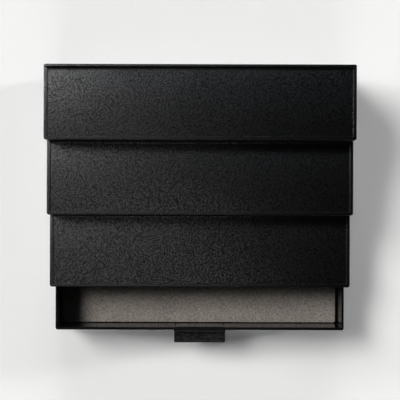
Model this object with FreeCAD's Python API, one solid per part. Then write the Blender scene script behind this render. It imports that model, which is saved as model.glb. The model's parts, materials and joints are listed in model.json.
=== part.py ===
import FreeCAD, Part
import math
import os

# Stepped stand for bottles with one drawer under its lowest tread, in millimetres.
# The front faces -Y, +Z is up, and the origin is the bottom centre of the whole object
# with the drawer standing open by drawer_open.

# The case and its three treads
case_width = 305.0
tread_depth = 73.5
step_rise = 24.0
low_tread_height = 60.0
tier_names = ["low", "middle", "top"]
case_wall = 3.0
tread_thickness = 2.1
skirt_bottom = 2.4
plan_corner_radius = 2.4
outer_edge_radius = 1.0

# The rim round each tread, and the higher lip along the rear of the top one
rim_width = 3.2
rim_height = 1.4
rim_foot_radius = 0.45
rim_crest_radius = 0.2
pocket_corner_radius = 1.6
riser_foot_radius = 2.5
rear_lip_rise = 2.6
rear_lip_thickness = 2.6
rear_lip_foot_radius = 3.0
rear_lip_end_radius = 2.4
rear_lip_edge_radius = 0.7

# The bezel round the drawer opening, and the ribs under the two upper treads
bezel_depth = 3.0
bezel_inset = 1.9
rib_thickness = 1.8
rib_depth = 6.0
rib_offsets = [-100.0, 0.0, 100.0]

# The base plate, its lugs, feet and screws
foot_height = 3.0
foot_radius = 8.0
foot_recess = 0.6
foot_recess_gap = 0.2
foot_inset_x = 18.0
foot_inset_y = 14.0
foot_edge_radius = 0.9
foot_dimple_radius = 5.0
foot_dimple_depth = 0.5
plate_thickness = 3.0
plate_gap = 0.3
plate_front_setback = 0.6
plate_corner_radius = 1.0
lug_size = 9.5
lug_height = 5.0
side_lug_stations = [26.0, 106.0, 190.0]
rear_lug_offset = 60.0
screw_radius = 1.45
screw_hole_gap = 0.15
screw_head_radius = 2.9
screw_head_height = 1.5
screw_head_recess = 1.7
screw_head_rounding = 0.5
screw_sink_gap = 0.3
base_screw_length = 5.8
screw_tip_length = 1.2
screw_tip_gap = 0.2
screw_socket_radius = 1.1
screw_socket_depth = 0.8

# The runners on the base plate and the slides under the tray
runner_offset = 95.0
runner_front_setback = 5.0
runner_rear_gap = 12.0
runner_stem_width = 6.0
runner_head_width = 12.0
runner_head_thickness = 1.6
runner_top = 11.0
runner_lead_in = 2.0
runner_lead_length = 4.0
runner_screw_length = 5.4
runner_screw_stations = [20.0, 100.0, 180.0]
slide_gap = 0.4
slide_lift = 0.2
slide_wall = 2.0
slide_web = 1.2
slide_lip = 1.5
slide_front_gap = 4.5
slide_rear_gap = 3.0

# The drawer tray
drawer_open = 44.0
tray_width = 294.0
tray_length = 212.0
tray_top = 55.8
tray_floor_thickness = 2.2
tray_wall = 2.2
tray_front_wall = 2.8
tray_outer_draft = 0.4
tray_inner_draft = 0.35
tray_corner_radius = 2.0
tray_inner_corner_radius = 1.2
tray_rim_radius = 0.85
apron_bottom = 6.8
stop_lug_station = 147.4
stop_lug_length = 5.0
stop_lug_reach = 1.7
stop_lug_bottom = 20.0
stop_lug_top = 40.0

# The felt liner
liner_thickness = 1.8
liner_side_gap = 1.6
liner_end_gap = 0.6
liner_corner_radius = 2.0

# The pull: a flange up the tray's front wall and a shelf with a bead along its tip
pull_width = 52.5
pull_reach = 14.3
pull_flange_top = 54.0
pull_flange_bottom = 28.0
pull_flange_thickness = 2.0
pull_root_thickness = 3.4
pull_shelf_top = 44.0
pull_shelf_thickness = 2.6
pull_lip_bottom = 36.0
pull_lip_thickness = 2.4
pull_bead_width = 3.1
pull_bead_rise = 0.45
pull_bead_crest_share = 0.45
pull_groove_width = 1.6
pull_groove_depth = 0.35
pull_nose_height = 1.2
pull_corner_radius = 1.6
pull_edge_radius = 0.3
pull_screw_offset = 16.0
pull_screw_height = 34.5
pull_screw_radius = 1.2
pull_screw_bite = 2.8
pull_screw_head_radius = 2.3

# The pull's backplate, let into the inner face of the tray's front wall
backplate_width = 49.4
backplate_bottom = 17.2
backplate_top = 53.6
backplate_seat = 2.0
backplate_thickness = 1.1
backplate_gap = 0.7
backplate_corner_radius = 0.4

# The rubber bumpers inside the rear wall
bumper_radius = 5.0
bumper_gap = 0.5
bumper_offset = 110.0
bumper_height = 34.0
bumper_edge_radius = 1.0

# Places worked out from the sizes above
case_depth = tread_depth * len(tier_names)
total_depth = case_depth + drawer_open + pull_reach
case_rear = total_depth / 2
case_front = case_rear - case_depth
half_width = case_width / 2
inner_half_width = half_width - case_wall
opening_half_width = inner_half_width - bezel_inset
inner_rear = case_rear - case_wall
plate_bottom = foot_height
plate_top = plate_bottom + plate_thickness
tray_front = case_front - drawer_open
tray_rear = tray_front + tray_length
tray_bottom = runner_top + slide_lift + slide_web
tray_floor = tray_bottom + tray_floor_thickness

# How far a cut runs past what it cuts, and how near two numbers count as the same
below_everything = -20.0
overshoot = 5.0
near = 1e-4


os.makedirs("parts", exist_ok=True)


def vector(x, y, z):
    return FreeCAD.Vector(x, y, z)


def block(x0, x1, y0, y1, z0, z1):
    return Part.makeBox(x1 - x0, y1 - y0, z1 - z0, vector(x0, y0, z0))


def edge_ends(edge):
    return edge.Vertexes[0].Point, edge.Vertexes[-1].Point


def upright_edges(shape):
    chosen = []
    for edge in shape.Edges:
        low, high = edge_ends(edge)
        if abs((high - low).z) > near and (high - low).cross(vector(0, 0, 1)).Length < near:
            chosen.append(edge)
    return chosen


def level_edges(shape, height):
    return [e for e in shape.Edges if abs(e.BoundBox.ZMin - height) < near
            and abs(e.BoundBox.ZMax - height) < near]


def rounded_block(x0, x1, y0, y1, z0, z1, corner, top=0.0, bottom=0.0):
    """A block with rounded upright edges and, where given, rounded top and bottom edges."""
    shape = block(x0, x1, y0, y1, z0, z1)
    shape = shape.makeFillet(corner, upright_edges(shape))
    if top > 0:
        shape = shape.makeFillet(top, level_edges(shape, z1))
    if bottom > 0:
        shape = shape.makeFillet(bottom, level_edges(shape, z0))
    return shape


def rounded_wire(half_x, y0, y1, z, radius):
    """A level outline with round corners."""
    flat = block(-half_x, half_x, y0, y1, z, z + overshoot)
    rounded = flat.makeFillet(radius, upright_edges(flat))
    faces = [f for f in rounded.Faces if abs(f.BoundBox.ZMax - z) < near]
    return faces[0].OuterWire


def upright_cylinder(x, y, z0, z1, radius):
    return Part.makeCylinder(radius, z1 - z0, vector(x, y, z0))


def forward_cylinder(x, y0, y1, z, radius):
    return Part.makeCylinder(radius, y1 - y0, vector(x, y0, z), vector(0, 1, 0))


def cove_face(corner, along_first, along_second, radius):
    """The corner piece that a concave rounding leaves, between two directions."""
    first = corner + along_first * radius
    second = corner + along_second * radius
    centre = first + along_second * radius
    middle = centre - (along_first + along_second) * (radius / math.sqrt(2))
    arc = Part.Arc(first, middle, second).toShape()
    sides = [Part.LineSegment(corner, first).toShape(), arc, Part.LineSegment(second, corner).toShape()]
    return Part.Face(Part.Wire(sides))


def profile_prism(points, direction):
    """A prism of a closed outline of straight lines."""
    wire = Part.makePolygon(points + [points[0]])
    return Part.Face(wire).extrude(direction)


def fused(shapes):
    whole = shapes[0]
    for shape in shapes[1:]:
        whole = whole.fuse(shape)
    return whole.removeSplitter()


def save(name, shape):
    solids = shape.Solids
    result = solids[0] if len(solids) == 1 else Part.makeCompound(solids)
    result.exportStep(f"parts/{name}.step")
    box = shape.BoundBox
    low = f"{box.XMin:.2f} {box.YMin:.2f} {box.ZMin:.2f}"
    high = f"{box.XMax:.2f} {box.YMax:.2f} {box.ZMax:.2f}"
    print(f"{name}: {len(solids)} solid(s), valid {shape.isValid()}, {low} to {high}")


# The stepped cover

def tier_top(tier):
    return low_tread_height + step_rise * tier


def tier_front(tier):
    return case_front + tread_depth * tier


def tread_level(tier):
    return tier_top(tier) - rim_height


def tier_block(tier):
    """One tier down to the skirt, with the shallow pocket of its tread cut in."""
    front = tier_front(tier)
    top = tier_top(tier)
    body = rounded_block(-half_width, half_width, front, case_rear, skirt_bottom, top,
                         plan_corner_radius, top=outer_edge_radius)
    pocket_half = half_width - rim_width
    last = tier == len(tier_names) - 1
    pocket_rear = case_rear - rear_lip_thickness if last else front + tread_depth + overshoot
    pocket = rounded_block(-pocket_half, pocket_half, front + rim_width, pocket_rear,
                           tread_level(tier), top + overshoot,
                           pocket_corner_radius, bottom=rim_foot_radius)
    body = body.cut(pocket)
    crest = [e for e in level_edges(body, top) if abs(e.CenterOfMass.x) < pocket_half + near
             and front + rim_width - near < e.CenterOfMass.y < pocket_rear + near]
    return body.makeFillet(rim_crest_radius, crest)


def riser_cove(tier):
    """The concave rounding where a riser stands on the tread in front of it."""
    pocket_half = half_width - rim_width
    corner = vector(-pocket_half, tier_front(tier + 1), tread_level(tier))
    face = cove_face(corner, vector(0, -1, 0), vector(0, 0, 1), riser_foot_radius)
    return face.extrude(vector(2 * pocket_half, 0, 0))


def rear_lip():
    """The lip along the rear edge of the top tread, with its ends rounded off."""
    inner_face = case_rear - rear_lip_thickness
    top = tier_top(len(tier_names) - 1) + rear_lip_rise
    foot = tread_level(len(tier_names) - 1) - tread_thickness
    bar = block(-half_width, half_width, inner_face, case_rear, foot, top)
    ends = [e for e in level_edges(bar, top) if abs(abs(e.CenterOfMass.x) - half_width) < near]
    bar = bar.makeFillet(rear_lip_end_radius, ends)
    crest = [e for e in bar.Edges if e.BoundBox.YLength < near and e.BoundBox.ZMin > foot + near]
    bar = bar.makeFillet(rear_lip_edge_radius, crest)
    outline = block(-half_width, half_width, case_front, case_rear, foot, top + overshoot)
    outline = outline.makeFillet(plan_corner_radius, upright_edges(outline))
    bar = bar.common(outline)
    pocket_half = half_width - rim_width
    corner = vector(-pocket_half, inner_face, tread_level(len(tier_names) - 1))
    cove = cove_face(corner, vector(0, -1, 0), vector(0, 0, 1), rear_lip_foot_radius)
    return [bar, cove.extrude(vector(2 * pocket_half, 0, 0))]


def cover_hollow():
    """The space inside the cover, open below and at the drawer opening."""
    rooms = []
    for tier in range(len(tier_names)):
        front = tier_front(tier) + (bezel_depth if tier == 0 else case_wall)
        ceiling = tread_level(tier) - tread_thickness
        rooms.append(block(-inner_half_width, inner_half_width, front, inner_rear,
                           below_everything, ceiling))
    rooms.append(block(-opening_half_width, opening_half_width, case_front - overshoot,
                       case_front + bezel_depth + overshoot, below_everything,
                       tread_level(0) - tread_thickness))
    return rooms


def cover_ribs():
    """Stiffening ribs under the two upper treads."""
    ribs = []
    for tier in range(1, len(tier_names)):
        ceiling = tread_level(tier) - tread_thickness
        rear = tier_front(tier) + tread_depth if tier < len(tier_names) - 1 else inner_rear
        for offset in rib_offsets:
            ribs.append(block(offset - rib_thickness / 2, offset + rib_thickness / 2,
                              tier_front(tier), rear + case_wall / 2, ceiling - rib_depth,
                              ceiling + tread_thickness / 2))
    return ribs


def base_screw_places():
    places = []
    for side in (-1, 1):
        for station in side_lug_stations:
            places.append((side * (inner_half_width - lug_size / 2), case_front + station))
        places.append((side * rear_lug_offset, inner_rear - lug_size / 2))
    return places


def cover_lugs():
    """The lugs inside the walls that take the base plate's screws."""
    lugs = []
    for x, y in base_screw_places():
        half = lug_size / 2
        on_side = abs(x) > inner_half_width - lug_size
        reach_x = case_wall / 2 if on_side else 0
        reach_y = 0 if on_side else case_wall / 2
        x0 = x - half - (reach_x if x < 0 else 0)
        x1 = x + half + (reach_x if x > 0 else 0)
        lug = block(x0, x1, y - half, y + half + reach_y, plate_top, plate_top + lug_height)
        hole_top = plate_bottom + screw_head_recess + base_screw_length + screw_tip_gap
        hole = upright_cylinder(x, y, plate_top - overshoot, hole_top, screw_radius)
        lugs.append((lug, hole))
    return lugs


def stepped_cover():
    body = fused([tier_block(tier) for tier in range(len(tier_names))])
    coves = [riser_cove(tier) for tier in range(len(tier_names) - 1)]
    body = fused([body] + coves + rear_lip())
    for room in cover_hollow():
        body = body.cut(room)
    lugs = cover_lugs()
    body = fused([body] + cover_ribs() + [lug for lug, hole in lugs])
    for lug, hole in lugs:
        body = body.cut(hole)
    return body


# The base plate, feet and screws

def foot_places():
    x = half_width - foot_inset_x
    return {
        "foot_front_left": (-x, case_front + foot_inset_y),
        "foot_front_right": (x, case_front + foot_inset_y),
        "foot_rear_left": (-x, case_rear - foot_inset_y),
        "foot_rear_right": (x, case_rear - foot_inset_y),
    }


def runner_screw_places():
    places = []
    for side in (-1, 1):
        for station in runner_screw_stations:
            places.append((side * runner_offset, case_front + station))
    return places


def base_plate():
    half = inner_half_width - plate_gap
    plate = rounded_block(-half, half, case_front + bezel_depth + plate_gap,
                          inner_rear - plate_gap, plate_bottom, plate_top, plate_corner_radius)
    tongue_half = opening_half_width - plate_gap
    tongue = block(-tongue_half, tongue_half, case_front + plate_front_setback,
                   case_front + bezel_depth + overshoot, plate_bottom, plate_top)
    plate = fused([plate, tongue])
    for x, y in base_screw_places() + runner_screw_places():
        hole = upright_cylinder(x, y, plate_bottom - overshoot, plate_top + overshoot,
                                screw_radius + screw_hole_gap)
        sink = upright_cylinder(x, y, plate_bottom - overshoot, plate_bottom + screw_head_recess,
                                screw_head_radius + screw_sink_gap)
        plate = plate.cut(hole).cut(sink)
    for x, y in foot_places().values():
        recess = upright_cylinder(x, y, plate_bottom - overshoot, plate_bottom + foot_recess,
                                  foot_radius + foot_recess_gap)
        plate = plate.cut(recess)
    return plate


def rubber_foot(x, y):
    """A flat rubber disc, rounded below, with a shallow dimple in its sole."""
    foot = upright_cylinder(x, y, 0, plate_bottom + foot_recess, foot_radius)
    foot = foot.makeFillet(foot_edge_radius, level_edges(foot, 0))
    dimple = upright_cylinder(x, y, -overshoot, foot_dimple_depth, foot_dimple_radius)
    return foot.cut(dimple)


def upward_screw(x, y, length):
    """A pan-head screw driven up from below, with its head in the plate's recess."""
    seat = plate_bottom + screw_head_recess
    head = upright_cylinder(x, y, seat - screw_head_height, seat, screw_head_radius)
    head = head.makeFillet(screw_head_rounding, level_edges(head, seat - screw_head_height))
    shank = upright_cylinder(x, y, seat, seat + length - screw_tip_length, screw_radius)
    tip = Part.makeCone(screw_radius, screw_radius / 2, screw_tip_length,
                        vector(x, y, seat + length - screw_tip_length))
    socket = upright_cylinder(x, y, seat - screw_head_height - overshoot,
                              seat - screw_head_height + screw_socket_depth, screw_socket_radius)
    return head.fuse(shank).fuse(tip).cut(socket).removeSplitter()


def screw_group(places, length):
    return Part.makeCompound([upward_screw(x, y, length) for x, y in places])


# The runners and the slides that grip them

def runner_span():
    return case_front + runner_front_setback, inner_rear - runner_rear_gap


def runner(side):
    """A T-shaped rail with its head narrowed at the front end."""
    front, rear = runner_span()
    x = side * runner_offset
    stem_half = runner_stem_width / 2
    head_half = runner_head_width / 2
    head_bottom = runner_top - runner_head_thickness
    stem = block(x - stem_half, x + stem_half, front, rear, plate_top, head_bottom)
    outline = [
        vector(x - head_half + runner_lead_in, front, head_bottom),
        vector(x + head_half - runner_lead_in, front, head_bottom),
        vector(x + head_half, front + runner_lead_length, head_bottom),
        vector(x + head_half, rear, head_bottom),
        vector(x - head_half, rear, head_bottom),
        vector(x - head_half, front + runner_lead_length, head_bottom),
    ]
    head = profile_prism(outline, vector(0, 0, runner_head_thickness))
    rail = stem.fuse(head).removeSplitter()
    for place_x, place_y in runner_screw_places():
        hole_top = plate_bottom + screw_head_recess + runner_screw_length + screw_tip_gap
        hole = upright_cylinder(place_x, place_y, plate_top - overshoot, hole_top, screw_radius)
        rail = rail.cut(hole)
    return rail


def slide(side):
    """A channel under the tray whose lips reach in below the rail's head."""
    x = side * runner_offset
    front = tray_front + tray_front_wall + slide_front_gap
    rear = tray_rear - slide_rear_gap
    inner = runner_head_width / 2 + slide_gap
    outer = inner + slide_wall
    mouth = runner_stem_width / 2 + slide_gap
    lip_top = runner_top - runner_head_thickness - slide_gap
    lip_bottom = lip_top - slide_lip
    web_bottom = tray_bottom - slide_web
    half = [(mouth, lip_bottom), (outer, lip_bottom), (outer, tray_bottom)]
    inside = [(inner, web_bottom), (inner, lip_top), (mouth, lip_top)]
    right = [vector(x + px, front, pz) for px, pz in half]
    left = [vector(x - px, front, pz) for px, pz in reversed(half)]
    left_inside = [vector(x - px, front, pz) for px, pz in reversed(inside)]
    right_inside = [vector(x + px, front, pz) for px, pz in inside]
    outline = right + left + left_inside + right_inside
    return profile_prism(outline, vector(0, rear - front, 0))


# The drawer

def tapered_block(half_x, y0, y1, z0, z1, draft, radius):
    """A block that grows by the draft on each side from its bottom to its top."""
    bottom = rounded_wire(half_x - draft, y0 + draft, y1 - draft, z0, radius)
    top = rounded_wire(half_x, y0, y1, z1, radius)
    return Part.makeLoft([bottom, top], True, True)


def pull_screw_places():
    return [(side * pull_screw_offset, pull_screw_height) for side in (-1, 1)]


def backplate_block(y0, y1, margin):
    """The backplate's outline, rounded at its corners, grown by a margin all round."""
    half = backplate_width / 2 + margin
    plate = block(-half, half, y0, y1, backplate_bottom - margin, backplate_top + margin)
    corners = [e for e in plate.Edges if e.BoundBox.YLength > (y1 - y0) / 2]
    return plate.makeFillet(backplate_corner_radius + margin, corners)


def tray_shell():
    """The tray's walls and floor, with the front wall reaching down to hide the runners."""
    half = tray_width / 2
    outside = tapered_block(half, tray_front, tray_rear, apron_bottom, tray_top,
                            tray_outer_draft, tray_corner_radius)
    inside = tapered_block(half - tray_wall, tray_front + tray_front_wall, tray_rear - tray_wall,
                           tray_floor, tray_top, tray_inner_draft, tray_inner_corner_radius)
    apron_rear = tray_front + tray_front_wall + tray_outer_draft
    under = block(-half - overshoot, half + overshoot, apron_rear, tray_rear + overshoot,
                  below_everything, tray_bottom)
    tray = outside.cut(inside).cut(under)
    return tray.makeFillet(tray_rim_radius, level_edges(tray, tray_top))


def stop_lugs():
    lugs = []
    start = tray_front + stop_lug_station
    for side in (-1, 1):
        root = side * (tray_width / 2 - tray_wall / 2)
        tip = side * (tray_width / 2 + stop_lug_reach)
        lugs.append(block(min(root, tip), max(root, tip), start, start + stop_lug_length,
                          stop_lug_bottom, stop_lug_top))
    return lugs


def drawer_tray():
    tray = fused([tray_shell()] + stop_lugs())
    seat = tray_front + backplate_seat
    tray = tray.cut(backplate_block(seat, seat + overshoot, backplate_gap))
    for x, z in pull_screw_places():
        tray = tray.cut(forward_cylinder(x, tray_front - overshoot, seat + overshoot, z,
                                         pull_screw_radius + screw_hole_gap))
    return tray


def drawer_liner():
    half = tray_width / 2 - tray_wall - tray_inner_draft - liner_side_gap
    front = tray_front + tray_front_wall + tray_inner_draft + liner_end_gap
    rear = tray_rear - tray_wall - tray_inner_draft - liner_end_gap
    return rounded_block(-half, half, front, rear, tray_floor, tray_floor + liner_thickness,
                         liner_corner_radius)


# The pull, its backplate and screws

def pull_section():
    """The pull seen from its end, in Y and Z: each corner, the crest of the arc that leaves it
    if its side isn't straight, and whether the corner is rounded."""
    wall = tray_front
    tip = wall - pull_reach
    bead_rear = tip + pull_bead_width
    groove_rear = bead_rear + pull_groove_width
    nose = pull_shelf_top - pull_nose_height
    shelf_bottom = pull_shelf_top - pull_shelf_thickness
    bead_crest = (tip + pull_bead_width * pull_bead_crest_share, pull_shelf_top + pull_bead_rise)
    groove_dip = (bead_rear + pull_groove_width / 2, pull_shelf_top - pull_groove_depth)
    return [
        ((wall, pull_flange_bottom), None, False),
        ((wall, pull_flange_top), None, False),
        ((wall - pull_flange_thickness, pull_flange_top), None, True),
        ((wall - pull_flange_thickness, pull_shelf_top), None, True),
        ((groove_rear, pull_shelf_top), groove_dip, False),
        ((bead_rear, pull_shelf_top), bead_crest, False),
        ((tip, nose), None, True),
        ((tip, pull_lip_bottom), None, True),
        ((tip + pull_lip_thickness, pull_lip_bottom), None, True),
        ((tip + pull_lip_thickness, shelf_bottom), None, True),
        ((wall - pull_root_thickness, shelf_bottom), None, True),
        ((wall - pull_root_thickness, pull_flange_bottom), None, False),
    ]


def section_face(section, x):
    """A face of lines and, where a crest is given, arcs, at one place along X."""
    edges = []
    for index, (start, crest, rounded) in enumerate(section):
        end = section[(index + 1) % len(section)][0]
        first = vector(x, *start)
        last = vector(x, *end)
        if crest is None:
            edges.append(Part.LineSegment(first, last).toShape())
        else:
            edges.append(Part.Arc(first, vector(x, *crest), last).toShape())
    return Part.Face(Part.Wire(edges))


def lengthwise_edges(shape, spots):
    """The edges along X that pass through the given places in Y and Z."""
    chosen = []
    for edge in shape.Edges:
        box = edge.BoundBox
        if box.XLength < pull_width / 2:
            continue
        for y, z in spots:
            if abs(box.YMin - y) < near and abs(box.ZMin - z) < near:
                chosen.append(edge)
    return chosen


def pull_tab():
    half = pull_width / 2
    section = pull_section()
    body = section_face(section, -half).extrude(vector(pull_width, 0, 0))
    corners = [corner for corner, crest, rounded in section if rounded]
    body = body.makeFillet(pull_edge_radius, lengthwise_edges(body, corners))
    plan = block(-half, half, tray_front - pull_reach, tray_front + overshoot,
                 pull_flange_bottom - overshoot, pull_flange_top + overshoot)
    front_corners = [e for e in upright_edges(plan) if e.CenterOfMass.y < tray_front]
    body = body.common(plan.makeFillet(pull_corner_radius, front_corners))
    for x, z in pull_screw_places():
        hole_end = tray_front - pull_screw_bite - screw_tip_gap
        body = body.cut(forward_cylinder(x, hole_end, tray_front + overshoot, z,
                                         pull_screw_radius))
    return body


def countersink(x, z, face):
    """The cone of a flat screw head whose top is flush with a face."""
    return Part.makeCone(pull_screw_radius, pull_screw_head_radius, backplate_thickness,
                         vector(x, face - backplate_thickness, z), vector(0, 1, 0))


def pull_backplate():
    seat = tray_front + backplate_seat
    face = seat + backplate_thickness
    plate = backplate_block(seat, face, 0)
    for x, z in pull_screw_places():
        plate = plate.cut(countersink(x, z, face))
    return plate


def pull_screw(x, z):
    """A flat-head screw through the backplate and the wall into the pull's flange."""
    face = tray_front + backplate_seat + backplate_thickness
    shank = forward_cylinder(x, tray_front - pull_screw_bite, face - backplate_thickness / 2, z,
                             pull_screw_radius)
    socket = forward_cylinder(x, face - screw_socket_depth, face + overshoot, z,
                              screw_socket_radius)
    return shank.fuse(countersink(x, z, face)).cut(socket).removeSplitter()


# The bumpers

def bumper(side):
    """A rubber pad on the rear wall, just behind the closed drawer."""
    closed_rear = tray_rear + drawer_open
    pad = forward_cylinder(side * bumper_offset, closed_rear + bumper_gap, inner_rear,
                           bumper_height, bumper_radius)
    rim = [e for e in pad.Edges if abs(e.BoundBox.YMax - closed_rear - bumper_gap) < near]
    return pad.makeFillet(bumper_edge_radius, rim)


def main():
    save("stepped_cover", stepped_cover())
    save("base_plate", base_plate())
    for name, place in foot_places().items():
        save(name, rubber_foot(*place))
    save("base_screws", screw_group(base_screw_places(), base_screw_length))
    save("runner_screws", screw_group(runner_screw_places(), runner_screw_length))
    for name, side in (("left", -1), ("right", 1)):
        save(f"runner_{name}", runner(side))
        save(f"slide_{name}", slide(side))
        save(f"bumper_{name}", bumper(side))
    save("drawer_tray", drawer_tray())
    save("drawer_liner", drawer_liner())
    save("pull_tab", pull_tab())
    save("pull_backplate", pull_backplate())
    save("pull_screws", Part.makeCompound([pull_screw(x, z) for x, z in pull_screw_places()]))


main()
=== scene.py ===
import json
import math

import bpy
from bpy.props import FloatProperty, FloatVectorProperty, IntProperty, PointerProperty
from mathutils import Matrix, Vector

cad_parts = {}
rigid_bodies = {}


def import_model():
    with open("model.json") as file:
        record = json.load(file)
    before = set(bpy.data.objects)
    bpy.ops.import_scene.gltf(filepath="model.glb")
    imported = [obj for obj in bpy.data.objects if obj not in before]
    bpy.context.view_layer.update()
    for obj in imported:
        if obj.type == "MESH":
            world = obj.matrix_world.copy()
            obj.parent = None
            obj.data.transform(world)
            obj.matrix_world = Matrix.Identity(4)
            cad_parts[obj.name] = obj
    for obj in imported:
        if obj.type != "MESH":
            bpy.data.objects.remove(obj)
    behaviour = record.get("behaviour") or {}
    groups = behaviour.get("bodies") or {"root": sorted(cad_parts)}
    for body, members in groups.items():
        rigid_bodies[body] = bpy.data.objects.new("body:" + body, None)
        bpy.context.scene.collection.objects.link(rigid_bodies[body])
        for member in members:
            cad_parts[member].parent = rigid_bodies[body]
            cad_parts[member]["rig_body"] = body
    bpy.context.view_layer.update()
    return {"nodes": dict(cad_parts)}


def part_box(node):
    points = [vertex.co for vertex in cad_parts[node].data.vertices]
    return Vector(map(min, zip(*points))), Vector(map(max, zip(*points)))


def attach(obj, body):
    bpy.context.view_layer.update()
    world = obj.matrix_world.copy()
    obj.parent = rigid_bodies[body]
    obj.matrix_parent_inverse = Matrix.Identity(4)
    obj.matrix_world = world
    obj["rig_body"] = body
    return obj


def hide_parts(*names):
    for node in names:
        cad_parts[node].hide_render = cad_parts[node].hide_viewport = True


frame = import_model()

bl_info = {
    "name": "Stepped Fragrance Stand",
    "version": (1, 0, 0),
    "blender": (4, 5, 0),
    "location": "3D View > Sidebar > Stand",
    "description": "Finishes a stepped stand for fragrance bottles with a felt-lined drawer",
    "category": "Object",
}

MM = 0.001
NODES = frame["nodes"]
COVER_LOW, COVER_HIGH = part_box("stepped_cover")
TREAD_DEPTH = (COVER_HIGH.y - COVER_LOW.y) / 3
FEET = ["foot_front_left", "foot_front_right", "foot_rear_left", "foot_rear_right"]
BUMPERS = ["bumper_left", "bumper_right"]
RUNNERS = ["runner_left", "runner_right", "slide_left", "slide_right"]

# A length that counts as none, the sides a face can look to, and how flat it has to lie
TINY = 0.02 * MM
UP, DOWN = 1.0, -1.0
FLAT = 0.999

# Sides of a round screw, and the share of its head that the cross recess takes up
SCREW_SIDES = 40
RECESS_SHARE = 0.6

FLOOR_SIZE = 14.0
WHITE = (1.0, 1.0, 1.0)
WARM = (1.0, 0.99, 0.98)
COOL = (0.82, 0.92, 1.0)

# Directions from the stand to its lights, and the angle that the rear strip takes up
KEY_TOWARD = (-0.72, 0.47, 1.0)
STRIP_TOWARD = (0.0, 0.52, 1.0)
STRIP_SPREAD = math.radians(14.0)

# Light from the studio's walls: name, direction, strength, spread in degrees
WALL_LIGHTS = [
    ("right_wall", (1.0, 0.18, 0.10), 4.0, 5.0),
    ("left_wall", (-1.0, 0.18, 0.12), 3.2, 8.0),
    ("front_wall", (0.0, -1.0, 0.20), 1.6, 20.0),
    ("rear_wall", (0.0, 1.0, 0.20), 2.4, 20.0),
    ("ceiling", (-0.62, 0.18, 1.0), 0.40, 14.0),
]

# Panels that the gloss shows: name, place, radius, power
PANELS = [
    ("left_panel", (-0.90, 0.53, 1.22), 0.37, 46.0),
    ("front_panel", (-0.14, -0.22, 0.6), 0.26, 0.68),
]


# Sizes, colours and light that a user would change

class StandSizes(bpy.types.PropertyGroup):
    """Sizes of the details that are modelled on the stand."""
    grain_size: FloatProperty(
        name="Grain size", description="Distance between the pits of the treads' grain",
        default=1.0 * MM, unit="LENGTH")
    grain_depth: FloatProperty(
        name="Grain depth", description="Depth of the pits of the treads' grain",
        default=0.03 * MM, unit="LENGTH")
    tread_crown: FloatProperty(
        name="Tread crown", description="Lean of a tread's surface at its front and rear edges",
        default=math.radians(3.7), subtype="ANGLE")
    tread_bow: FloatProperty(
        name="Tread bow", description="Lean of a tread's surface at its left and right ends",
        default=math.radians(2.5), subtype="ANGLE")
    tread_wave: FloatProperty(
        name="Tread wave", description="Height of the slow waves in the treads",
        default=0.25 * MM, unit="LENGTH")
    felt_cell: FloatProperty(
        name="Felt cell", description="Distance between the points of the felt's mesh",
        default=2.0 * MM, unit="LENGTH")
    felt_relief: FloatProperty(
        name="Felt relief", description="Height of the felt's soft unevenness",
        default=0.22 * MM, unit="LENGTH")
    felt_corner: FloatProperty(
        name="Felt corner", description="Radius of the felt's cut corners",
        default=2.0 * MM, unit="LENGTH")
    felt_edge: FloatProperty(
        name="Felt edge", description="Radius to which the felt's cut edges have softened",
        default=0.45 * MM, unit="LENGTH")
    screw_core: FloatProperty(
        name="Screw core", description="Radius of the core between a screw's threads",
        default=1.05 * MM, unit="LENGTH")
    thread_pitch: FloatProperty(
        name="Thread pitch", description="Rise of one turn of a screw's thread",
        default=0.9 * MM, unit="LENGTH")
    recess_width: FloatProperty(
        name="Recess width", description="Width of the slots in a screw's cross recess",
        default=0.55 * MM, unit="LENGTH")
    foot_rings: IntProperty(
        name="Foot rings", description="Moulded rings in the sole of a foot",
        default=3, min=0, max=6)


class StandColours(bpy.types.PropertyGroup):
    """Colours of the stand's materials."""
    case_black: FloatVectorProperty(
        name="Case", description="Black of the moulded case", subtype="COLOR",
        default=(0.0012, 0.0012, 0.0014))
    plate_black: FloatVectorProperty(
        name="Base plate", description="Black of the base plate", subtype="COLOR",
        default=(0.018, 0.018, 0.019))
    drawer_black: FloatVectorProperty(
        name="Drawer", description="Black of the glossy drawer", subtype="COLOR",
        default=(0.003, 0.003, 0.0032))
    pull_black: FloatVectorProperty(
        name="Pull", description="Black of the satin pull", subtype="COLOR",
        default=(0.013, 0.013, 0.0135))
    felt_taupe: FloatVectorProperty(
        name="Felt", description="Taupe of the drawer's liner", subtype="COLOR",
        default=(0.27, 0.24, 0.215))
    runner_grey: FloatVectorProperty(
        name="Runners", description="Dark grey of the runners and slides", subtype="COLOR",
        default=(0.05, 0.05, 0.052))
    rubber_black: FloatVectorProperty(
        name="Rubber", description="Black of the feet and bumpers", subtype="COLOR",
        default=(0.02, 0.02, 0.02))
    screw_zinc: FloatVectorProperty(
        name="Screws", description="Grey of the zinc-plated screws", subtype="COLOR",
        default=(0.55, 0.56, 0.58))
    screw_black: FloatVectorProperty(
        name="Pull screws", description="Black of the pull's screws", subtype="COLOR",
        default=(0.03, 0.03, 0.031))
    floor_grey: FloatVectorProperty(
        name="Floor", description="Pale grey of the floor", subtype="COLOR",
        default=(0.82, 0.82, 0.82))


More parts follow.
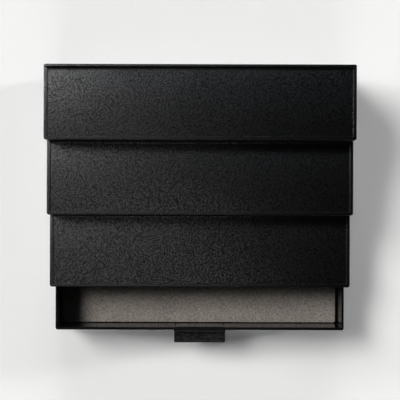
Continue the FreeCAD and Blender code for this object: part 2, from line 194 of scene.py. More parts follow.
class StandStage(bpy.types.PropertyGroup):
    """The camera and the studio lights."""
    eye_height: FloatProperty(
        name="Camera height", description="Height of the camera over the floor",
        default=1.188, unit="LENGTH")
    eye_right: FloatProperty(
        name="Camera right", description="Place of the camera to the right of the middle",
        default=0.05 * MM, unit="LENGTH")
    eye_back: FloatProperty(
        name="Camera back", description="Place of the camera behind the middle",
        default=7.45 * MM, unit="LENGTH")
    eye_roll: FloatProperty(
        name="Camera roll", description="Turn of the camera about its own axis",
        default=math.radians(0.16), subtype="ANGLE")
    lens: FloatProperty(
        name="Lens", description="Focal length on a sensor 36 mm wide, in millimetres",
        default=99.93, unit="CAMERA")
    key_strength: FloatProperty(
        name="Key", description="Strength of the large light at the rear left",
        default=2.05, min=0.0)
    key_spread: FloatProperty(
        name="Key spread", description="Angle that the key light takes up in the sky",
        default=math.radians(23.0), subtype="ANGLE")
    rear_strength: FloatProperty(
        name="Rear strip", description="Strength of the cool strip that the gloss shows",
        default=0.50, min=0.0)
    panel_strength: FloatProperty(
        name="Panels", description="Strength of the panels that the gloss shows",
        default=1.0, min=0.0)
    wall_strength: FloatProperty(
        name="Walls", description="Strength of the light that the studio's walls throw back",
        default=1.0, min=0.0)
    horizon_light: FloatProperty(
        name="Horizon", description="Brightness of the backdrop round the horizon",
        default=0.6, min=0.0)
    overhead_light: FloatProperty(
        name="Overhead", description="Brightness of the ceiling",
        default=0.01, min=0.0)
    horizon_top: FloatProperty(
        name="Backdrop's top", description="Sine of the elevation where the backdrop darkens",
        default=0.03, min=0.0, max=1.0)
    dark_from: FloatProperty(
        name="Ceiling's edge", description="Sine of the elevation where the ceiling is dark",
        default=0.15, min=0.0, max=1.0)
    seen_level: FloatProperty(
        name="Seen level", description="Level of the background as the camera sees it",
        default=0.9, min=0.0, subtype="FACTOR")


# Objects, selection and mesh steps

def deselect():
    bpy.ops.object.select_all(action="DESELECT")


def activate(obj, others=()):
    """Selects an object, and any others with it, and makes it the active one."""
    deselect()
    for chosen in (obj, *others):
        chosen.select_set(True)
    bpy.context.view_layer.objects.active = obj


def apply_place(obj):
    """Puts an object's place, turn and scale into its mesh."""
    activate(obj)
    bpy.ops.object.transform_apply(location=True, rotation=True, scale=True)


def new_object(name):
    """The object that the last primitive made, named, with its place applied to its mesh."""
    made = bpy.context.object
    made.name = name
    made.data.name = name
    apply_place(made)
    return made


def select_where(obj, kind, chosen):
    """In edit mode, selects the faces, edges or points for which chosen is true."""
    bpy.ops.mesh.select_mode(type=kind)
    bpy.ops.mesh.select_all(action="DESELECT")
    bpy.ops.object.mode_set(mode="OBJECT")
    parts = {"FACE": obj.data.polygons, "EDGE": obj.data.edges, "VERT": obj.data.vertices}
    for part in parts[kind]:
        part.select = chosen(part)
    bpy.ops.object.mode_set(mode="EDIT")


def select_flat(obj, side):
    """In edit mode, selects the level faces that look up or down."""
    select_where(obj, "FACE", lambda face: face.normal.z * side > FLAT)


def select_bottom_rim(obj):
    """In edit mode, selects the edges that lie at height zero."""
    select_where(obj, "EDGE", lambda edge: max(
        obj.data.vertices[i].co.z for i in edge.vertices) < TINY)


def inset(thickness):
    """Insets the selected faces."""
    bpy.ops.mesh.inset(thickness=thickness)


def extrude(rise):
    """Extrudes the selected faces along Z."""
    bpy.ops.mesh.extrude_region_move(TRANSFORM_OT_translate={"value": (0.0, 0.0, rise)})


def narrow(share, height):
    """Draws in the selected faces, which lie at a height, towards the Z axis."""
    bpy.ops.transform.resize(value=(share, share, 1.0), center_override=(0.0, 0.0, height))


def apply_modifier(obj, kind, **settings):
    """Adds a modifier with its settings, and applies it."""
    activate(obj)
    modifier = obj.modifiers.new(kind.title(), kind)
    for name, value in settings.items():
        setattr(modifier, name, value)
    bpy.ops.object.modifier_apply(modifier=modifier.name)


def soften(obj, width, segments, angle):
    """Rounds the edges at which an object turns by more than an angle, in degrees."""
    apply_modifier(obj, "BEVEL", width=width, segments=segments, limit_method="ANGLE",
                   angle_limit=math.radians(angle))


def finish_mesh(obj, smooth_angle=35.0):
    """Turns the faces outwards and shades the piece smooth up to an angle, in degrees."""
    activate(obj)
    bpy.ops.object.mode_set(mode="EDIT")
    bpy.ops.mesh.select_all(action="SELECT")
    bpy.ops.mesh.remove_doubles(threshold=0.001 * MM)
    bpy.ops.mesh.normals_make_consistent(inside=False)
    bpy.ops.object.mode_set(mode="OBJECT")
    bpy.ops.object.shade_smooth_by_angle(angle=math.radians(smooth_angle))


def copy_to(obj, name, offset):
    """A copy with its own mesh, moved in its mesh."""
    mesh = obj.data.copy()
    mesh.name = name
    for point in mesh.vertices:
        point.co += Vector(offset)
    made = bpy.data.objects.new(name, mesh)
    bpy.context.scene.collection.objects.link(made)
    return made


def join(pieces, name):
    """Joins all the pieces to the first one, which takes the name."""
    joined = pieces[0]
    activate(joined, pieces[1:])
    bpy.ops.object.join()
    joined.name = name
    joined.data.name = name
    return joined


def solid_corners(node):
    """Lowest and highest corner of each solid of a node, whose solids lie apart in plan."""
    apart = 10 * MM
    groups = []
    for point in NODES[node].data.vertices:
        for group in groups:
            if (point.co.xy - group[0].xy).length < apart:
                group.append(point.co)
                break
        else:
            groups.append([point.co])
    corners = []
    for group in groups:
        low = Vector([min(p[axis] for p in group) for axis in range(3)])
        high = Vector([max(p[axis] for p in group) for axis in range(3)])
        corners.append((low, high))
    return corners


def set_material(obj, material):
    """Gives an object one material in all its slots."""
    if not obj.data.materials:
        obj.data.materials.append(material)
    for slot in obj.material_slots:
        slot.material = material


def stand_for(piece, node, material):
    """The piece takes the node's place, body and material."""
    set_material(piece, material)
    body = NODES[node]["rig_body"]
    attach(piece, body)
    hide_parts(node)


def stand_screws(model, node, places, material):
    """Copies of a screw at all its places, as one piece, stand for the node."""
    copies = [copy_to(model, f"{node}_{index}", place) for index, place in enumerate(places)]
    bpy.data.objects.remove(model)
    stand_for(join(copies, f"{node}_threaded"), node, material)


# Shader nodes

def add(tree, kind, inputs=None, **settings):
    """Adds a shader node, with its settings and the values or links of its inputs."""
    made = tree.nodes.new(kind)
    for name, value in settings.items():
        setattr(made, name, value)
    set_inputs(tree, made, inputs or {})
    return made


def set_inputs(tree, target, inputs):
    """Gives a shader node's inputs their values or links."""
    for name, value in inputs.items():
        if isinstance(value, bpy.types.NodeSocket):
            tree.links.new(value, target.inputs[name])
        else:
            target.inputs[name].default_value = value


def maths(tree, operation, first, second, third=0.0):
    made = add(tree, "ShaderNodeMath", {0: first, 1: second, 2: third}, operation=operation)
    return made.outputs[0]


def weigh(tree, first, first_share, second, second_share):
    """The sum of two values, each taken times its share."""
    rest = maths(tree, "MULTIPLY", second, second_share)
    return maths(tree, "MULTIPLY_ADD", first, first_share, rest)


def smooth_step(tree, value, low, high, to_low=0.0, to_high=1.0):
    """Maps a value from one range to another, smoothly and clamped."""
    made = add(tree, "ShaderNodeMapRange", {
        "Value": value, "From Min": low, "From Max": high, "To Min": to_low, "To Max": to_high},
        interpolation_type="SMOOTHSTEP")
    return made.outputs["Result"]


def noise(tree, place, size, detail=2.0, roughness=0.5, distortion=0.0):
    """A noise value, about 0.5 on average, with features of about the given size."""
    made = add(tree, "ShaderNodeTexNoise", {
        "Vector": place, "Scale": 1.0 / size, "Detail": detail, "Roughness": roughness,
        "Distortion": distortion})
    return made.outputs["Fac"]


def bump(tree, height, metres=1.0, strength=1.0, under=None):
    """The normal of a relief, laid over another normal where one is given."""
    inputs = {"Height": height, "Distance": metres, "Strength": strength}
    if under is not None:
        inputs["Normal"] = under
    return add(tree, "ShaderNodeBump", inputs).outputs["Normal"]


def shades(tree, value, colour, dark, light):
    """Turns a value from 0 to 1 into shades of a colour, from dark to light times it."""
    value_socket, dark_socket, light_socket, colour_output = 0, 6, 7, 2
    made = add(tree, "ShaderNodeMix", data_type="RGBA")
    set_inputs(tree, made, {
        value_socket: value,
        dark_socket: (*[c * dark for c in colour], 1.0),
        light_socket: (*[c * light for c in colour], 1.0)})
    return made.outputs[colour_output]


def shader_group(name, inputs, outputs):
    """An empty node group with named sockets, and its input and output nodes."""
    tree = bpy.data.node_groups.new(name, "ShaderNodeTree")
    for label, kind, default in inputs:
        socket = tree.interface.new_socket(label, in_out="INPUT", socket_type=kind)
        if default is not None:
            socket.default_value = default
    for label, kind in outputs:
        tree.interface.new_socket(label, in_out="OUTPUT", socket_type=kind)
    return tree, tree.nodes.new("NodeGroupInput"), tree.nodes.new("NodeGroupOutput")


def moulded_grain_group():
    """Fine pits of uneven size, as a value from 0 on the ridges to 1 in the pits."""
    tree, given, made = shader_group(
        "Moulded Grain",
        [("Place", "NodeSocketVector", None), ("Size", "NodeSocketFloat", 1.0 * MM)],
        [("Pits", "NodeSocketFloat")])
    ridge_level = 0.42
    pit_level = 0.58
    relief = add(tree, "ShaderNodeTexNoise", {
        "Vector": given.outputs["Place"],
        "Scale": maths(tree, "DIVIDE", 1.0, given.outputs["Size"]),
        "Detail": 2.0, "Roughness": 0.8})
    pits = smooth_step(tree, relief.outputs["Fac"], ridge_level, pit_level)
    tree.links.new(pits, made.inputs["Pits"])


def handling_marks_group():
    """Roughness that varies over the surface, as moulding and handling leave it."""
    tree, given, made = shader_group(
        "Handling Marks",
        [("Place", "NodeSocketVector", None), ("Roughness", "NodeSocketFloat", 0.3),
         ("Variation", "NodeSocketFloat", 0.05)],
        [("Roughness", "NodeSocketFloat")])
    broad_size = 45 * MM
    fine_size = 4 * MM
    average = 0.5
    broad = noise(tree, given.outputs["Place"], broad_size, detail=3.0)
    fine = noise(tree, given.outputs["Place"], fine_size, detail=4.0, roughness=0.6)
    both = weigh(tree, fine, 0.4, broad, 0.6)
    offset = maths(tree, "SUBTRACT", both, average)
    level = maths(tree, "MULTIPLY_ADD", offset, given.outputs["Variation"],
                  given.outputs["Roughness"])
    tree.links.new(level, made.inputs["Roughness"])


GROUP_MAKERS = {"Moulded Grain": moulded_grain_group, "Handling Marks": handling_marks_group}


def use_group(tree, name, inputs):
    """Places a shared node group, which is built the first time it is used."""
    if name not in bpy.data.node_groups:
        GROUP_MAKERS[name]()
    made = tree.nodes.new("ShaderNodeGroup")
    made.node_tree = bpy.data.node_groups[name]
    set_inputs(tree, made, inputs)
    return made.outputs[0]


def marked(tree, place, roughness, variation):
    """A roughness with handling marks in it."""
    return use_group(tree, "Handling Marks", {
        "Place": place, "Roughness": roughness, "Variation": variation})


def new_material(name):
    """A material with a Principled surface: its tree, its shader, and places on the object."""
    material = bpy.data.materials.new(name)
    material.use_nodes = True
    tree = material.node_tree
    shader = tree.nodes["Principled BSDF"]
    place = add(tree, "ShaderNodeTexCoord").outputs["Object"]
    return material, tree, shader, place


# Materials

def tread_shape(tree, place, sizes):
    """How high a tread's surface stands at a place, crowned both ways, in metres."""
    wave_length = 60 * MM
    axes = add(tree, "ShaderNodeSeparateXYZ", {"Vector": place})
    along = maths(tree, "WRAP", axes.outputs["Y"], COVER_LOW.y + TREAD_DEPTH, COVER_LOW.y)
    along = maths(tree, "SUBTRACT", along, COVER_LOW.y + TREAD_DEPTH / 2)
    height = 0.0
    for offset, half, lean in ((along, TREAD_DEPTH / 2, sizes.tread_crown),
                               (axes.outputs["X"], COVER_HIGH.x, sizes.tread_bow)):
        square = maths(tree, "MULTIPLY", offset, offset)
        height = maths(tree, "MULTIPLY_ADD", square, -math.tan(lean) / (2 * half), height)
    wave = noise(tree, place, wave_length, detail=1.0)
    return maths(tree, "MULTIPLY_ADD", wave, sizes.tread_wave, height)


def facing_up(tree):
    """A value that is 1 on level faces and 0 on steep ones."""
    steep, level = 0.9, 0.99
    normal = add(tree, "ShaderNodeNewGeometry").outputs["Normal"]
    upward = add(tree, "ShaderNodeSeparateXYZ", {"Vector": normal}).outputs["Z"]
    return smooth_step(tree, upward, steep, level)


def case_material(sizes, colours):
    """Black moulded plastic, whose fine pits are duller than its ridges and reflect less: painted
    shade in the pits.
    """
    pit_dullness = 0.08
    # Share of metal on the black base in the pits, which darkens their reflection: painted shade
    # in the pits
    pit_painted_shade = 0.9
    material, tree, shader, place = new_material("black_case_plastic")
    pits = use_group(tree, "Moulded Grain", {"Place": place, "Size": sizes.grain_size})
    marks = marked(tree, place, roughness=0.25, variation=0.06)
    grain = bump(tree, maths(tree, "MULTIPLY", pits, -sizes.grain_depth))
    crown = bump(tree, tread_shape(tree, place, sizes), strength=facing_up(tree), under=grain)
    set_inputs(tree, shader, {
        "Base Color": (*colours.case_black, 1.0),
        "Roughness": maths(tree, "MULTIPLY_ADD", pits, pit_dullness, marks),
        "Metallic": maths(tree, "MULTIPLY", pits, pit_painted_shade),
        "Normal": crown})
    return material


def grained_material(name, colour, roughness, grain_size, grain_depth, variation=0.08,
                     reflect=0.5):
    """Plain moulded plastic or rubber with a fine even grain."""
    material, tree, shader, place = new_material(name)
    grain = noise(tree, place, grain_size, detail=3.0, roughness=0.6)
    set_inputs(tree, shader, {
        "Base Color": (*colour, 1.0),
        "Roughness": marked(tree, place, roughness, variation),
        "Specular IOR Level": reflect,
        "Normal": bump(tree, grain, grain_depth)})
    return material


def pull_material(colours):
    """Black satin plastic with fine streaks along its length."""
    streak_width = 1.2 * MM
    streak_depth = 0.03 * MM
    squeeze = 0.35
    dark_level, light_level = 0.38, 0.62
    material, tree, shader, place = new_material("black_pull_plastic")
    along = add(tree, "ShaderNodeMapping", {"Vector": place, "Scale": (squeeze, 1.0, 1.0)})
    streaks = noise(tree, along.outputs["Vector"], streak_width, detail=1.0, roughness=0.6)
    tone = smooth_step(tree, streaks, dark_level, light_level)
    set_inputs(tree, shader, {
        "Base Color": shades(tree, tone, colours.pull_black, dark=0.5, light=2.0),
        "Roughness": marked(tree, place, roughness=0.3, variation=0.08),
        "Specular IOR Level": 0.04,
        "Normal": bump(tree, streaks, streak_depth)})
    return material


def screw_material(name, colour):
    """Plated or blackened steel, a little uneven in tone."""
    mottle_size = 0.8 * MM
    mottle_depth = 0.01 * MM
    material, tree, shader, place = new_material(name)
    tone = noise(tree, place, mottle_size, detail=3.0)
    set_inputs(tree, shader, {
        "Base Color": shades(tree, tone, colour, dark=0.75, light=1.0),
        "Metallic": 1.0,
        "Roughness": marked(tree, place, roughness=0.34, variation=0.2),
        "Normal": bump(tree, tone, mottle_depth)})
    return material


def felt_material(colours):
    """Taupe felt of short pressed fibres, a little uneven in colour."""
    fibre_size = 1.6 * MM
    fibre_depth = 0.5 * MM
    patch_size = 28 * MM
    dark_level, light_level = 0.2, 0.6
    material, tree, shader, place = new_material("taupe_felt")
    fibres = noise(tree, place, fibre_size, detail=3.0, roughness=0.6, distortion=1.2)
    patches = noise(tree, place, patch_size)
    tone = smooth_step(tree, weigh(tree, fibres, 0.7, patches, 0.1), dark_level, light_level)
    set_inputs(tree, shader, {
        "Base Color": shades(tree, tone, colours.felt_taupe, dark=0.5, light=1.55),
        "Roughness": 0.95,
        "Specular IOR Level": 0.2,
        "Sheen Weight": 0.15,
        "Sheen Roughness": 0.4,
        "Normal": bump(tree, fibres, fibre_depth)})
    return material


def floor_material(colours):
    """Smooth pale grey paper."""
    material, tree, shader, _ = new_material("pale_paper")
    set_inputs(tree, shader, {
        "Base Color": (*colours.floor_grey, 1.0),
        "Roughness": 0.9,
        "Specular IOR Level": 0.0})
    return material


# Pieces

def felt_liner(sizes):
    """A cut sheet of felt with a soft, uneven top and softened edges, and its size."""
    swell_length = 26 * MM
    fray_length = 1.6 * MM
    fray_share = 0.5
    low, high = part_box("drawer_liner")
    middle = (low + high) / 2
    span = high - low

    def at_side(place, margin):
        return abs(place.x - middle.x) > span.x / 2 - margin

    def at_end(place, margin):
        return abs(place.y - middle.y) > span.y / 2 - margin

    def on_top(place):
        return place.z > middle.z

    def on_rim(place):
        return on_top(place) and (
            at_side(place, sizes.felt_edge) or at_end(place, sizes.felt_edge))

    columns = round(span.x / sizes.felt_cell)
    rows = round(span.y / sizes.felt_cell)
    deselect()
    bpy.ops.mesh.primitive_grid_add(
        x_subdivisions=columns, y_subdivisions=rows, size=1.0,
        location=(middle.x, middle.y, high.z))
    bpy.context.object.scale = (span.x, span.y, 1.0)
    liner = new_object("felt_liner")
    bpy.ops.object.mode_set(mode="EDIT")
    select_where(liner, "VERT", lambda p: at_side(p.co, TINY) and at_end(p.co, TINY))
    bpy.ops.mesh.bevel(offset=sizes.felt_corner, segments=6, affect="VERTICES")
    bpy.ops.mesh.select_all(action="SELECT")
    extrude(low.z - high.z)
    bpy.ops.object.mode_set(mode="OBJECT")
    soften(liner, sizes.felt_edge, segments=3, angle=60.0)
    ruffle(liner, "top", sizes.felt_relief, swell_length, on_top)
    ruffle(liner, "rim", fray_share * sizes.felt_relief, fray_length, on_rim)
    finish_mesh(liner, smooth_angle=60.0)
    return liner, span


def ruffle(obj, name, height, length, chosen):
    """Displaces the chosen points of a piece along their normals by a soft noise."""
    texture = bpy.data.textures.new(f"{obj.name}_{name}", "CLOUDS")
    texture.noise_scale = length
    points = obj.vertex_groups.new(name=name)
    points.add([v.index for v in obj.data.vertices if chosen(v.co)], 1.0, "REPLACE")
    apply_modifier(obj, "DISPLACE", texture=texture, strength=height, mid_level=0.5,
                   vertex_group=name, texture_coords="LOCAL", direction="NORMAL")


def rounded_disc(name, radius, height, edge, sides, segments):
    """A disc that stands on the origin, its lower edge rounded, left in edit mode."""
    deselect()
    bpy.ops.mesh.primitive_cylinder_add(
        vertices=sides, radius=radius, depth=height, location=(0.0, 0.0, height / 2))
    disc = new_object(name)
    bpy.ops.object.mode_set(mode="EDIT")
    select_bottom_rim(disc)
    bpy.ops.mesh.bevel(offset=edge, segments=segments, affect="EDGES", profile=0.5)
    return disc


def cross_recess(screw, radius, height, width):
    """Cuts a tapered cross into the face of a screw's head, which looks down from the origin."""
    reach = RECESS_SHARE * radius
    depth = RECESS_SHARE * height
    taper = 0.45
    for angle in (0.0, math.pi / 2):
        deselect()
        bpy.ops.mesh.primitive_cube_add(size=1.0, rotation=(0.0, 0.0, angle))
        bpy.context.object.scale = (2 * reach, width, 2 * depth)
        cutter = new_object("recess_cutter")
        bpy.ops.object.mode_set(mode="EDIT")
        select_flat(cutter, UP)
        narrow(taper, depth)
        bpy.ops.object.mode_set(mode="OBJECT")
        apply_modifier(screw, "BOOLEAN", object=cutter, operation="DIFFERENCE", solver="EXACT")
        bpy.data.objects.remove(cutter)


def wind_thread(screw, core, crest, pitch, start, end):
    """Winds a ridge round a screw's core, from one height to another, and finishes the screw."""
    rise = crest - core
    sunk = 0.04 * MM
    ridge_radius = rise / 1.5 + sunk
    ridge_middle = core + rise / 3 - sunk
    turns = max(1, int((end - start) / pitch) - 1)
    deselect()
    bpy.ops.mesh.primitive_circle_add(
        vertices=3, radius=ridge_radius, rotation=(math.pi / 2, math.pi / 2, 0.0),
        location=(ridge_middle, 0.0, start + pitch / 2))
    ridge = new_object("thread_ridge")
    apply_modifier(ridge, "SCREW", axis="Z", angle=2 * math.pi, screw_offset=pitch,
                   iterations=turns, steps=20, render_steps=20)
    bpy.ops.object.mode_set(mode="EDIT")
    bpy.ops.mesh.select_all(action="SELECT")
    bpy.ops.mesh.fill_holes(sides=3)
    bpy.ops.object.mode_set(mode="OBJECT")
    finish_mesh(ridge, smooth_angle=30.0)
    join([screw, ridge], screw.name)
    finish_mesh(screw, smooth_angle=30.0)


def pan_head_screw(radius, height, sizes, crest, length):
    """A pan-head screw that stands on its head's face at the origin and points up."""
    rounding = 0.6 * height
    tip = 1.2 * MM
    tip_taper = 0.35
    end = height + length
    screw = rounded_disc("pan_head_screw", radius, height, rounding, SCREW_SIDES, segments=5)
    select_flat(screw, UP)
    inset(radius - sizes.screw_core)
    extrude(length - tip)
    extrude(tip)
    narrow(tip_taper, end)
    bpy.ops.object.mode_set(mode="OBJECT")
    cross_recess(screw, radius, height, sizes.recess_width)
    wind_thread(screw, sizes.screw_core, crest, sizes.thread_pitch, height, end)
    return screw


def flat_head_screw(radius, height, sizes, crest, length):
    """A flat-head screw that stands on its head's face at the origin and points up."""
    core = 0.75 * crest
    recess_width = 0.8 * sizes.recess_width
    deselect()
    bpy.ops.mesh.primitive_cone_add(
        vertices=SCREW_SIDES, radius1=radius, radius2=core, depth=height,
        location=(0.0, 0.0, height / 2))
    screw = new_object("flat_head_screw")
    bpy.ops.object.mode_set(mode="EDIT")
    select_flat(screw, UP)
    extrude(length)
    bpy.ops.object.mode_set(mode="OBJECT")
    cross_recess(screw, radius, height, recess_width)
    wind_thread(screw, core, crest, sizes.thread_pitch, height, height + length)
    return screw


def rubber_foot(radius, height, rings):
    """A rubber foot on the floor at the origin, with moulded rings in its sole."""
    edge = 0.9 * MM
    dimple_radius = 5 * MM
    dimple_depth = 0.5 * MM
    step = dimple_radius / (2 * rings + 1)
    foot = rounded_disc("rubber_foot", radius, height, edge, sides=72, segments=6)
    select_flat(foot, DOWN)
    inset(radius - edge - dimple_radius)
    extrude(dimple_depth)
    for _ in range(rings):
        inset(step)
        extrude(-0.5 * dimple_depth)
        inset(step)
        extrude(0.5 * dimple_depth)
    bpy.ops.object.mode_set(mode="OBJECT")
    soften(foot, 0.08 * MM, segments=2, angle=50.0)
    finish_mesh(foot)
    return foot


def rubber_bumper(radius, length):
    """A round pad from the origin back, its rounded face in front, with a small dimple in it."""
    edge = 1.2 * MM
    dimple_depth = 0.35 * MM
    pad = rounded_disc("rubber_bumper", radius, length, edge, sides=56, segments=6)
    select_flat(pad, DOWN)
    inset(edge)
    extrude(dimple_depth)
    bpy.ops.object.mode_set(mode="OBJECT")
    soften(pad, 0.15 * MM, segments=3, angle=50.0)
    pad.rotation_euler = (-math.pi / 2, 0.0, 0.0)
    apply_place(pad)
    finish_mesh(pad)
    return pad


# Operators

class STAND_OT_case(bpy.types.Operator):
    """Finish the stepped cover and the base plate."""
    bl_idname = "stand.case"
    bl_label = "Finish Case"

    def execute(self, context):
        colours = context.scene.stand_colours
        set_material(NODES["stepped_cover"], case_material(context.scene.stand_sizes, colours))
        plate = grained_material("black_plate_plastic", colours.plate_black, roughness=0.5,
                                 grain_size=0.9 * MM, grain_depth=0.05 * MM)
        set_material(NODES["base_plate"], plate)
        return {"FINISHED"}


class STAND_OT_screws(bpy.types.Operator):
    """Model the screws under the base plate and behind the pull."""
    bl_idname = "stand.screws"
    bl_label = "Make Screws"

    def execute(self, context):
        sizes = context.scene.stand_sizes
        colours = context.scene.stand_colours
        zinc = screw_material("zinc_screw_steel", colours.screw_zinc)
        for node in ("base_screws", "runner_screws"):
            self.plate_screws(node, sizes, zinc)
        self.pull_screws(sizes, screw_material("black_screw_steel", colours.screw_black))
        return {"FINISHED"}

    def plate_screws(self, node, sizes, zinc):
        """Pan-head screws that point up, with their heads' faces below."""
        head_height = 1.5 * MM
        corners = solid_corners(node)
        low, high = corners[0]
        model = pan_head_screw((high.x - low.x) / 2, head_height, sizes, crest=1.4 * MM,
                               length=high.z - low.z - head_height)
        places = []
        for low, high in corners:
            centre = (low + high) / 2
            places.append((centre.x, centre.y, low.z))
        stand_screws(model, node, places, zinc)

    def pull_screws(self, sizes, blackened):
        """Flat-head screws that point forward, with their heads sunk in the backplate."""
        corners = solid_corners("pull_screws")
        low, high = corners[0]
        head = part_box("pull_backplate")
        head_height = head[1].y - head[0].y
        model = flat_head_screw((high.x - low.x) / 2, head_height, sizes, crest=1.15 * MM,
                                length=high.y - low.y - head_height)
        model.rotation_euler = (math.pi / 2, 0.0, 0.0)
        apply_place(model)
        places = []
        for low, high in corners:
            centre = (low + high) / 2
            places.append((centre.x, high.y, centre.z))
        stand_screws(model, "pull_screws", places, blackened)


class STAND_OT_feet(bpy.types.Operator):
    """Model the four rubber feet with rings in their soles."""
    bl_idname = "stand.feet"
    bl_label = "Make Feet"

    def execute(self, context):
        rubber = grained_material("black_foot_rubber", context.scene.stand_colours.rubber_black,
                                  roughness=0.7, grain_size=0.4 * MM, grain_depth=0.03 * MM)
        low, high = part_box(FEET[0])
        model = rubber_foot((high.x - low.x) / 2, high.z - low.z,
                            context.scene.stand_sizes.foot_rings)
        for node in FEET:
            low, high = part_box(node)
            centre = (low + high) / 2
            foot = copy_to(model, f"{node}_ringed", (centre.x, centre.y, low.z))
            stand_for(foot, node, rubber)
        bpy.data.objects.remove(model)
        return {"FINISHED"}


class STAND_OT_bumpers(bpy.types.Operator):
    """Model the rubber pads that stop the drawer."""
    bl_idname = "stand.bumpers"
    bl_label = "Make Bumpers"

    def execute(self, context):
        rubber = grained_material("black_bumper_rubber", context.scene.stand_colours.rubber_black,
                                  roughness=0.6, grain_size=0.4 * MM, grain_depth=0.03 * MM)
        low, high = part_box(BUMPERS[0])
        model = rubber_bumper((high.x - low.x) / 2, high.y - low.y)
        for node in BUMPERS:
            low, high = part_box(node)
            centre = (low + high) / 2
            pad = copy_to(model, f"{node}_pad", (centre.x, low.y, centre.z))
            stand_for(pad, node, rubber)
        bpy.data.objects.remove(model)
        return {"FINISHED"}


class STAND_OT_runners(bpy.types.Operator):
    """Finish the runners and the slides that grip them."""
    bl_idname = "stand.runners"
    bl_label = "Finish Runners"

    def execute(self, context):
        waxy = grained_material("grey_runner_plastic", context.scene.stand_colours.runner_grey,
                                roughness=0.38, grain_size=2.0 * MM, grain_depth=0.01 * MM)
        for node in RUNNERS:
            set_material(NODES[node], waxy)
        return {"FINISHED"}


class STAND_OT_drawer(bpy.types.Operator):
    """Finish the drawer's tray and the pull's backplate."""
    bl_idname = "stand.drawer"
    bl_label = "Finish Drawer"

    def execute(self, context):
        gloss = grained_material("black_drawer_plastic", context.scene.stand_colours.drawer_black,
                                 roughness=0.06, grain_size=9 * MM, grain_depth=0.01 * MM,
                                 variation=0.04, reflect=0.04)
        for node in ("drawer_tray", "pull_backplate"):
            set_material(NODES[node], gloss)
        return {"FINISHED"}


class STAND_OT_liner(bpy.types.Operator):
    """Model the felt sheet on the drawer's floor."""
    bl_idname = "stand.liner"
    bl_label = "Make Liner"

    def execute(self, context):
        liner, span = felt_liner(context.scene.stand_sizes)
        stand_for(liner, "drawer_liner", felt_material(context.scene.stand_colours))
        return {"FINISHED"}


class STAND_OT_pull(bpy.types.Operator):
    """Finish the drawer's pull."""
    bl_idname = "stand.pull"
    bl_label = "Finish Pull"

    def execute(self, context):
        set_material(NODES["pull_tab"], pull_material(context.scene.stand_colours))
        return {"FINISHED"}


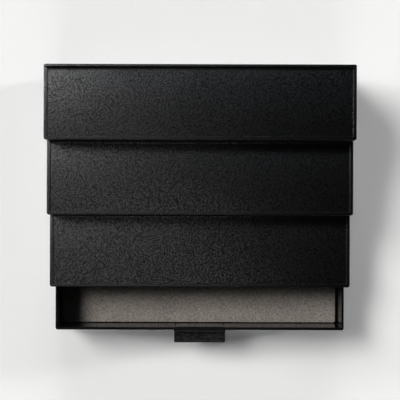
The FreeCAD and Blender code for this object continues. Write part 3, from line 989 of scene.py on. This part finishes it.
class STAND_OT_stage(bpy.types.Operator):
    """Set up the floor, the lights and the camera."""
    bl_idname = "stand.stage"
    bl_label = "Set Up Stage"

    def execute(self, context):
        stage = context.scene.stand_stage
        deselect()
        bpy.ops.mesh.primitive_plane_add(size=FLOOR_SIZE)
        floor = new_object("floor")
        set_material(floor, floor_material(context.scene.stand_colours))
        self.lights(stage)
        self.world(context.scene, stage)
        self.camera(context.scene, stage)
        context.scene.view_settings.view_transform = "Standard"
        return {"FINISHED"}

    def lights(self, stage):
        """The key light, a strip and panels for the gloss, and what the walls throw back."""
        self.sun("key", KEY_TOWARD, stage.key_strength, stage.key_spread, WARM)
        strip = self.sun("rear_strip", STRIP_TOWARD, stage.rear_strength, STRIP_SPREAD, COOL)
        strip.visible_diffuse = False
        for name, place, radius, power in PANELS:
            self.panel(name, place, radius, power * stage.panel_strength)
        for name, toward, strength, spread in WALL_LIGHTS:
            lamp = self.sun(name, toward, strength * stage.wall_strength, math.radians(spread),
                            WHITE)
            lamp.visible_glossy = False

    def sun(self, name, toward, strength, spread, colour):
        """A far light that shines from a direction and takes up an angle in the sky."""
        light = bpy.data.lights.new(name, "SUN")
        light.energy = strength
        light.angle = spread
        light.color = colour
        lamp = bpy.data.objects.new(name, light)
        lamp.rotation_mode = "QUATERNION"
        lamp.rotation_quaternion = Vector(toward).to_track_quat("Z", "Y")
        bpy.context.scene.collection.objects.link(lamp)
        return lamp

    def panel(self, name, place, radius, power):
        """A round panel that faces down, which only the gloss shows."""
        light = bpy.data.lights.new(name, "AREA")
        light.shape = "DISK"
        light.size = 2 * radius
        light.energy = power
        lamp = bpy.data.objects.new(name, light)
        lamp.location = place
        lamp.visible_camera = False
        lamp.visible_diffuse = False
        bpy.context.scene.collection.objects.link(lamp)

    def world(self, scene, stage):
        """Light that is pale round the horizon and dark overhead, and looks pale all over."""
        world = bpy.data.worlds.new("studio")
        scene.world = world
        world.use_nodes = True
        tree = world.node_tree
        toward = add(tree, "ShaderNodeTexCoord").outputs["Generated"]
        height = add(tree, "ShaderNodeSeparateXYZ", {"Vector": toward}).outputs["Z"]
        level = smooth_step(tree, height, stage.horizon_top, stage.dark_from,
                            stage.horizon_light, stage.overhead_light)
        seen = add(tree, "ShaderNodeLightPath").outputs["Is Camera Ray"]
        level = smooth_step(tree, seen, 0.0, 1.0, level, stage.seen_level)
        set_inputs(tree, tree.nodes["Background"], {"Color": level})

    def camera(self, scene, stage):
        camera = bpy.data.cameras.new("camera")
        camera.lens = stage.lens
        camera.sensor_width = 36.0
        camera.clip_start = 0.01
        camera.clip_end = 100.0
        eye = bpy.data.objects.new("camera", camera)
        eye.location = (stage.eye_right, stage.eye_back, stage.eye_height)
        eye.rotation_euler = (0.0, 0.0, stage.eye_roll)
        scene.collection.objects.link(eye)
        scene.camera = eye


STEPS = [STAND_OT_case, STAND_OT_screws, STAND_OT_feet, STAND_OT_bumpers, STAND_OT_runners,
         STAND_OT_drawer, STAND_OT_liner, STAND_OT_pull, STAND_OT_stage]
SETTINGS = {"stand_sizes": StandSizes, "stand_colours": StandColours, "stand_stage": StandStage}


class STAND_PT_tools(bpy.types.Panel):
    """The stand's settings and the steps that finish it."""
    bl_label = "Stepped Fragrance Stand"
    bl_idname = "STAND_PT_tools"
    bl_space_type = "VIEW_3D"
    bl_region_type = "UI"
    bl_category = "Stand"

    def draw(self, context):
        for name, group in SETTINGS.items():
            box = self.layout.box()
            for prop in group.__annotations__:
                box.prop(getattr(context.scene, name), prop)
        for step in STEPS:
            self.layout.operator(step.bl_idname)


def register():
    for group in SETTINGS.values():
        bpy.utils.register_class(group)
    for name, group in SETTINGS.items():
        setattr(bpy.types.Scene, name, PointerProperty(type=group))
    for step in [*STEPS, STAND_PT_tools]:
        bpy.utils.register_class(step)


def unregister():
    for step in [STAND_PT_tools, *reversed(STEPS)]:
        bpy.utils.unregister_class(step)
    for name in SETTINGS:
        delattr(bpy.types.Scene, name)
    for group in SETTINGS.values():
        bpy.utils.unregister_class(group)


def run(step):
    """Calls a step's operator by its name, as the panel's button does."""
    family, name = step.bl_idname.split(".")
    getattr(getattr(bpy.ops, family), name)()


def main():
    register()
    for step in STEPS:
        run(step)


if __name__ == "__main__":
    main()
